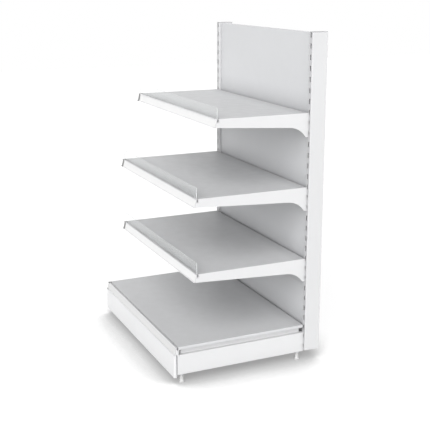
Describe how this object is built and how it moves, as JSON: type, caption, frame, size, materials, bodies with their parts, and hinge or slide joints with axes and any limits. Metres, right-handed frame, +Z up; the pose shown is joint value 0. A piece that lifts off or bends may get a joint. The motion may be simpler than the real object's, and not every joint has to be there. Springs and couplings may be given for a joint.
{
  "type": "wall gondola shelving",
  "caption": "Wall gondola shelving bay: slotted uprights, sheet steel back, base deck with kick plate, and hook-on shelves with price rails and clear front fences.",
  "frame": {"origin": "on the floor, under the middle of the bay's bounding box", "axes": "+Z up, +Y from the shopper towards the wall, +X along the bay to the right as seen from the front"},
  "size_m": [1.03, 0.759, 1.583],
  "materials": {
    "white_steel": "white powder coat, fine orange peel, semi-matt",
    "cap_plastic": "light grey moulded plastic",
    "rail_plastic": "pale grey extruded plastic, lightly glossy",
    "label_card": "plain white strip, matt, no print",
    "clear_plastic": "clear polished sheet",
    "zinc_steel": "bright zinc plate",
    "foot_plastic": "off-white moulded plastic, matt"
  },
  "bodies": {
    "frame": {"tie_rail_top": "white_steel", "tie_rail_middle": "white_steel", "tie_rail_bottom": "white_steel", "upright_left": "white_steel", "upright_right": "white_steel", "upright_cap_left": "cap_plastic", "upright_cap_right": "cap_plastic", "back_panel_1": "white_steel", "back_panel_2": "white_steel", "back_panel_3": "white_steel", "back_panel_4": "white_steel", "base_leg_left": "white_steel", "base_leg_right": "white_steel", "kick_clip_left": "zinc_steel", "kick_clip_right": "zinc_steel", "clip_screws": "zinc_steel", "foot_nuts": "zinc_steel"},
    "deck": {"base_deck": "white_steel", "base_deck_stiffener": "white_steel", "base_price_rail": "rail_plastic", "base_label_strip": "label_card"},
    "kick": {"kick_plate": "white_steel"},
    "upper_brackets": {"upper_bracket_left": "white_steel", "upper_bracket_right": "white_steel"},
    "upper_tray": {"upper_shelf": "white_steel", "upper_shelf_stiffener": "white_steel", "upper_price_rail": "rail_plastic", "upper_label_strip": "label_card"},
    "upper_screen": {"upper_fence": "clear_plastic"},
    "middle_brackets": {"middle_bracket_left": "white_steel", "middle_bracket_right": "white_steel"},
    "middle_tray": {"middle_shelf": "white_steel", "middle_shelf_stiffener": "white_steel", "middle_price_rail": "rail_plastic", "middle_label_strip": "label_card"},
    "middle_screen": {"middle_fence": "clear_plastic"},
    "lower_brackets": {"lower_bracket_left": "white_steel", "lower_bracket_right": "white_steel"},
    "lower_tray": {"lower_shelf": "white_steel", "lower_shelf_stiffener": "white_steel", "lower_price_rail": "rail_plastic", "lower_label_strip": "label_card"},
    "lower_screen": {"lower_fence": "clear_plastic"},
    "front_left_foot": {"foot_front_left": "foot_plastic"},
    "front_left_screw": {"foot_screw_front_left": "zinc_steel"},
    "front_right_foot": {"foot_front_right": "foot_plastic"},
    "front_right_screw": {"foot_screw_front_right": "zinc_steel"},
    "rear_left_foot": {"foot_rear_left": "foot_plastic"},
    "rear_left_screw": {"foot_screw_rear_left": "zinc_steel"},
    "rear_right_foot": {"foot_rear_right": "foot_plastic"},
    "rear_right_screw": {"foot_screw_rear_right": "zinc_steel"}
  },
  "joints": [
    {"name": "deck_lift", "type": "slide", "parent": "frame", "child": "deck", "axis": [0, 0, 1], "range_m": [0, 0.1]},
    {"name": "kick_pull", "type": "slide", "parent": "frame", "child": "kick", "axis": [0, -1, 0], "range_m": [0, 0.08]},
    {"name": "upper_unhook", "type": "slide", "parent": "frame", "child": "upper_brackets", "axis": [0, 0, 1], "range_m": [0, 0.012]},
    {"name": "upper_shelf_lift", "type": "slide", "parent": "upper_brackets", "child": "upper_tray", "axis": [0, 0, 1], "range_m": [0, 0.12]},
    {"name": "upper_fence_lift", "type": "slide", "parent": "upper_tray", "child": "upper_screen", "axis": [0, 0, 1], "range_m": [0, 0.06]},
    {"name": "middle_unhook", "type": "slide", "parent": "frame", "child": "middle_brackets", "axis": [0, 0, 1], "range_m": [0, 0.012]},
    {"name": "middle_shelf_lift", "type": "slide", "parent": "middle_brackets", "child": "middle_tray", "axis": [0, 0, 1], "range_m": [0, 0.12]},
    {"name": "middle_fence_lift", "type": "slide", "parent": "middle_tray", "child": "middle_screen", "axis": [0, 0, 1], "range_m": [0, 0.06]},
    {"name": "lower_unhook", "type": "slide", "parent": "frame", "child": "lower_brackets", "axis": [0, 0, 1], "range_m": [0, 0.012]},
    {"name": "lower_shelf_lift", "type": "slide", "parent": "lower_brackets", "child": "lower_tray", "axis": [0, 0, 1], "range_m": [0, 0.12]},
    {"name": "lower_fence_lift", "type": "slide", "parent": "lower_tray", "child": "lower_screen", "axis": [0, 0, 1], "range_m": [0, 0.06]},
    {"name": "front_left_level", "type": "slide", "parent": "frame", "child": "front_left_foot", "axis": [0, 0, -1], "range_m": [0, 0.02]},
    {"name": "front_left_screw_turn", "type": "hinge", "parent": "front_left_foot", "child": "front_left_screw", "pos_m": [-0.4841, -0.3365, 0.04], "axis": [0, 0, -1], "range_deg": [0, 4810]},
    {"name": "front_right_level", "type": "slide", "parent": "frame", "child": "front_right_foot", "axis": [0, 0, -1], "range_m": [0, 0.02]},
    {"name": "front_right_screw_turn", "type": "hinge", "parent": "front_right_foot", "child": "front_right_screw", "pos_m": [0.4841, -0.3365, 0.04], "axis": [0, 0, -1], "range_deg": [0, 4810]},
    {"name": "rear_left_level", "type": "slide", "parent": "frame", "child": "rear_left_foot", "axis": [0, 0, -1], "range_m": [0, 0.02]},
    {"name": "rear_left_screw_turn", "type": "hinge", "parent": "rear_left_foot", "child": "rear_left_screw", "pos_m": [-0.4841, 0.2735, 0.04], "axis": [0, 0, -1], "range_deg": [0, 4810]},
    {"name": "rear_right_level", "type": "slide", "parent": "frame", "child": "rear_right_foot", "axis": [0, 0, -1], "range_m": [0, 0.02]},
    {"name": "rear_right_screw_turn", "type": "hinge", "parent": "rear_right_foot", "child": "rear_right_screw", "pos_m": [0.4841, 0.2735, 0.04], "axis": [0, 0, -1], "range_deg": [0, 4810]}
  ],
  "couplings": [
    {"joint": "front_left_screw_turn", "follows": "front_left_level", "rad_per_m": 4188.8},
    {"joint": "front_right_screw_turn", "follows": "front_right_level", "rad_per_m": 4188.8},
    {"joint": "rear_left_screw_turn", "follows": "rear_left_level", "rad_per_m": 4188.8},
    {"joint": "rear_right_screw_turn", "follows": "rear_right_level", "rad_per_m": 4188.8}
  ]
}
